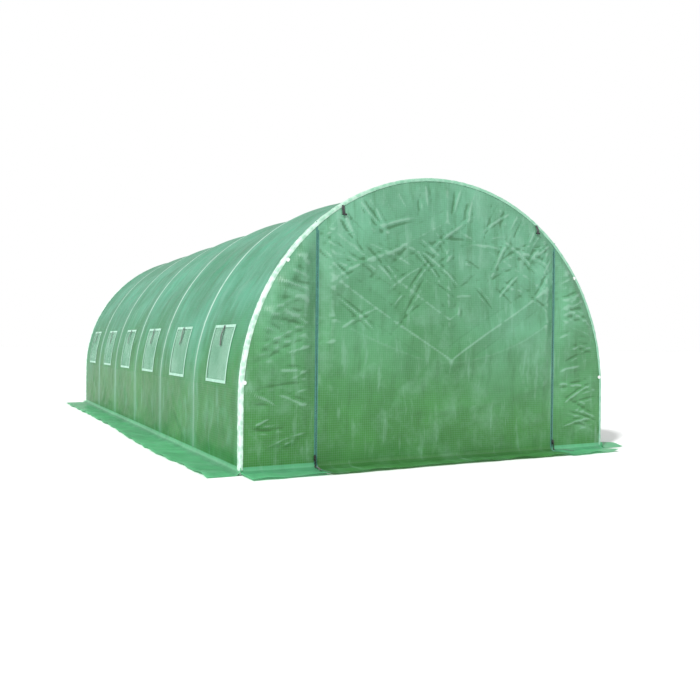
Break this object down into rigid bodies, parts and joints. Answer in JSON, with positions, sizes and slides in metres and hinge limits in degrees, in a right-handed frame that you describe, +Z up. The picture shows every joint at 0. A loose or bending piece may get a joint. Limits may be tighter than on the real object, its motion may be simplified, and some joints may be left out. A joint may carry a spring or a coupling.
{
  "type": "walk-in polytunnel greenhouse",
  "caption": "Half-round walk-in growing tunnel: steel hoops under a woven green film cover, net windows with inside flaps, ground skirts and a zipped door that rolls up.",
  "frame": {"origin": "on the ground, at the middle of the footprint", "axes": "+Z up, +Y along the tunnel from the door end to the rear, +X across"},
  "size_m": [3.537, 6.54, 1.9598],
  "materials": {
    "film_green": "woven reinforced film, satin, slightly translucent",
    "net_white": "fine woven insect net",
    "tape_white": "woven binding tape",
    "webbing_black": "ribbed webbing",
    "tube_steel": "pale grey powder coat over steel",
    "fastener_zinc": "zinc plated",
    "joint_black": "moulded",
    "clip_white": "moulded",
    "zip_teal": "zip tape with moulded teeth",
    "slider_black": "enamelled"
  },
  "bodies": {
    "root": {"hoop_1": "tube_steel", "hoop_2": "tube_steel", "hoop_3": "tube_steel", "hoop_4": "tube_steel", "hoop_5": "tube_steel", "hoop_6": "tube_steel", "hoop_7": "tube_steel", "tube_spigots": "tube_steel", "ridge_purlin": "tube_steel", "side_purlin_right": "tube_steel", "side_purlin_left": "tube_steel", "end_sills": "tube_steel", "base_rail_left": "tube_steel", "base_rail_right": "tube_steel", "coach_bolts": "fastener_zinc", "wing_nuts": "fastener_zinc", "base_tees": "joint_black", "roof_left": "film_green", "window_band_left": "film_green", "lower_wall_left": "film_green", "skirt_left": "film_green", "front_wall_left": "film_green", "window_nets_left": "net_white", "window_straps_left": "webbing_black", "roof_right": "film_green", "window_band_right": "film_green", "lower_wall_right": "film_green", "skirt_right": "film_green", "front_wall_right": "film_green", "window_nets_right": "net_white", "window_straps_right": "webbing_black", "window_tapes": "tape_white", "front_lunette": "film_green", "rear_wall": "film_green", "end_hem_front": "film_green", "end_hem_rear": "film_green", "zip_tapes": "zip_teal", "door_ties": "webbing_black", "hem_clips": "clip_white"},
    "door_strip_1": {"door_strip_1": "film_green"},
    "door_strip_2": {"door_strip_2": "film_green"},
    "door_strip_3": {"door_strip_3": "film_green"},
    "door_strip_4": {"door_strip_4": "film_green"},
    "door_strip_5": {"door_strip_5": "film_green"},
    "zip_slider_left": {"zip_slider_left": "slider_black"},
    "window_flap_left_1": {"window_flap_left_1": "film_green"},
    "window_flap_left_2": {"window_flap_left_2": "film_green"},
    "window_flap_left_3": {"window_flap_left_3": "film_green"},
    "window_flap_left_4": {"window_flap_left_4": "film_green"},
    "window_flap_left_5": {"window_flap_left_5": "film_green"},
    "window_flap_left_6": {"window_flap_left_6": "film_green"},
    "zip_slider_right": {"zip_slider_right": "slider_black"},
    "window_flap_right_1": {"window_flap_right_1": "film_green"},
    "window_flap_right_2": {"window_flap_right_2": "film_green"},
    "window_flap_right_3": {"window_flap_right_3": "film_green"},
    "window_flap_right_4": {"window_flap_right_4": "film_green"},
    "window_flap_right_5": {"window_flap_right_5": "film_green"},
    "window_flap_right_6": {"window_flap_right_6": "film_green"}
  },
  "joints": [
    {"name": "door_roll", "type": "hinge", "parent": "root", "child": "door_strip_1", "pos_m": [0, -3.0015, 1.53], "axis": [-1, 0, 0], "range_deg": [0, 90]},
    {"name": "door_roll_2", "type": "hinge", "parent": "door_strip_1", "child": "door_strip_2", "pos_m": [0, -3.0015, 1.14], "axis": [-1, 0, 0], "range_deg": [0, 90]},
    {"name": "door_roll_3", "type": "hinge", "parent": "door_strip_2", "child": "door_strip_3", "pos_m": [0, -3.0015, 0.802], "axis": [-1, 0, 0], "range_deg": [0, 90]},
    {"name": "door_roll_4", "type": "hinge", "parent": "door_strip_3", "child": "door_strip_4", "pos_m": [0, -3.0015, 0.472], "axis": [-1, 0, 0], "range_deg": [0, 90]},
    {"name": "door_roll_5", "type": "hinge", "parent": "door_strip_4", "child": "door_strip_5", "pos_m": [0, -3.0015, 0.216], "axis": [-1, 0, 0], "range_deg": [0, 90]},
    {"name": "zip_left", "type": "slide", "parent": "root", "child": "zip_slider_left", "axis": [0, 0, 1], "range_m": [0, 1.42]},
    {"name": "flap_left_1", "type": "hinge", "parent": "root", "child": "window_flap_left_1", "pos_m": [-1.41194, -2.48458, 0.92326], "axis": [0, -1, 0], "range_deg": [0, 120]},
    {"name": "flap_left_2", "type": "hinge", "parent": "root", "child": "window_flap_left_2", "pos_m": [-1.41194, -1.49075, 0.92326], "axis": [0, -1, 0], "range_deg": [0, 120]},
    {"name": "flap_left_3", "type": "hinge", "parent": "root", "child": "window_flap_left_3", "pos_m": [-1.41194, -0.49692, 0.92326], "axis": [0, -1, 0], "range_deg": [0, 120]},
    {"name": "flap_left_4", "type": "hinge", "parent": "root", "child": "window_flap_left_4", "pos_m": [-1.41194, 0.49692, 0.92326], "axis": [0, -1, 0], "range_deg": [0, 120]},
    {"name": "flap_left_5", "type": "hinge", "parent": "root", "child": "window_flap_left_5", "pos_m": [-1.41194, 1.49075, 0.92326], "axis": [0, -1, 0], "range_deg": [0, 120]},
    {"name": "flap_left_6", "type": "hinge", "parent": "root", "child": "window_flap_left_6", "pos_m": [-1.41194, 2.48458, 0.92326], "axis": [0, -1, 0], "range_deg": [0, 120]},
    {"name": "zip_right", "type": "slide", "parent": "root", "child": "zip_slider_right", "axis": [0, 0, 1], "range_m": [0, 1.42]},
    {"name": "flap_right_1", "type": "hinge", "parent": "root", "child": "window_flap_right_1", "pos_m": [1.41194, -2.48458, 0.92326], "axis": [0, 1, 0], "range_deg": [0, 120]},
    {"name": "flap_right_2", "type": "hinge", "parent": "root", "child": "window_flap_right_2", "pos_m": [1.41194, -1.49075, 0.92326], "axis": [0, 1, 0], "range_deg": [0, 120]},
    {"name": "flap_right_3", "type": "hinge", "parent": "root", "child": "window_flap_right_3", "pos_m": [1.41194, -0.49692, 0.92326], "axis": [0, 1, 0], "range_deg": [0, 120]},
    {"name": "flap_right_4", "type": "hinge", "parent": "root", "child": "window_flap_right_4", "pos_m": [1.41194, 0.49692, 0.92326], "axis": [0, 1, 0], "range_deg": [0, 120]},
    {"name": "flap_right_5", "type": "hinge", "parent": "root", "child": "window_flap_right_5", "pos_m": [1.41194, 1.49075, 0.92326], "axis": [0, 1, 0], "range_deg": [0, 120]},
    {"name": "flap_right_6", "type": "hinge", "parent": "root", "child": "window_flap_right_6", "pos_m": [1.41194, 2.48458, 0.92326], "axis": [0, 1, 0], "range_deg": [0, 120]}
  ],
  "couplings": [
    {"joint": "door_roll_2", "follows": "door_roll", "ratio": 1},
    {"joint": "door_roll_3", "follows": "door_roll", "ratio": 1},
    {"joint": "door_roll_4", "follows": "door_roll", "ratio": 1},
    {"joint": "door_roll_5", "follows": "door_roll", "ratio": 1}
  ]
}
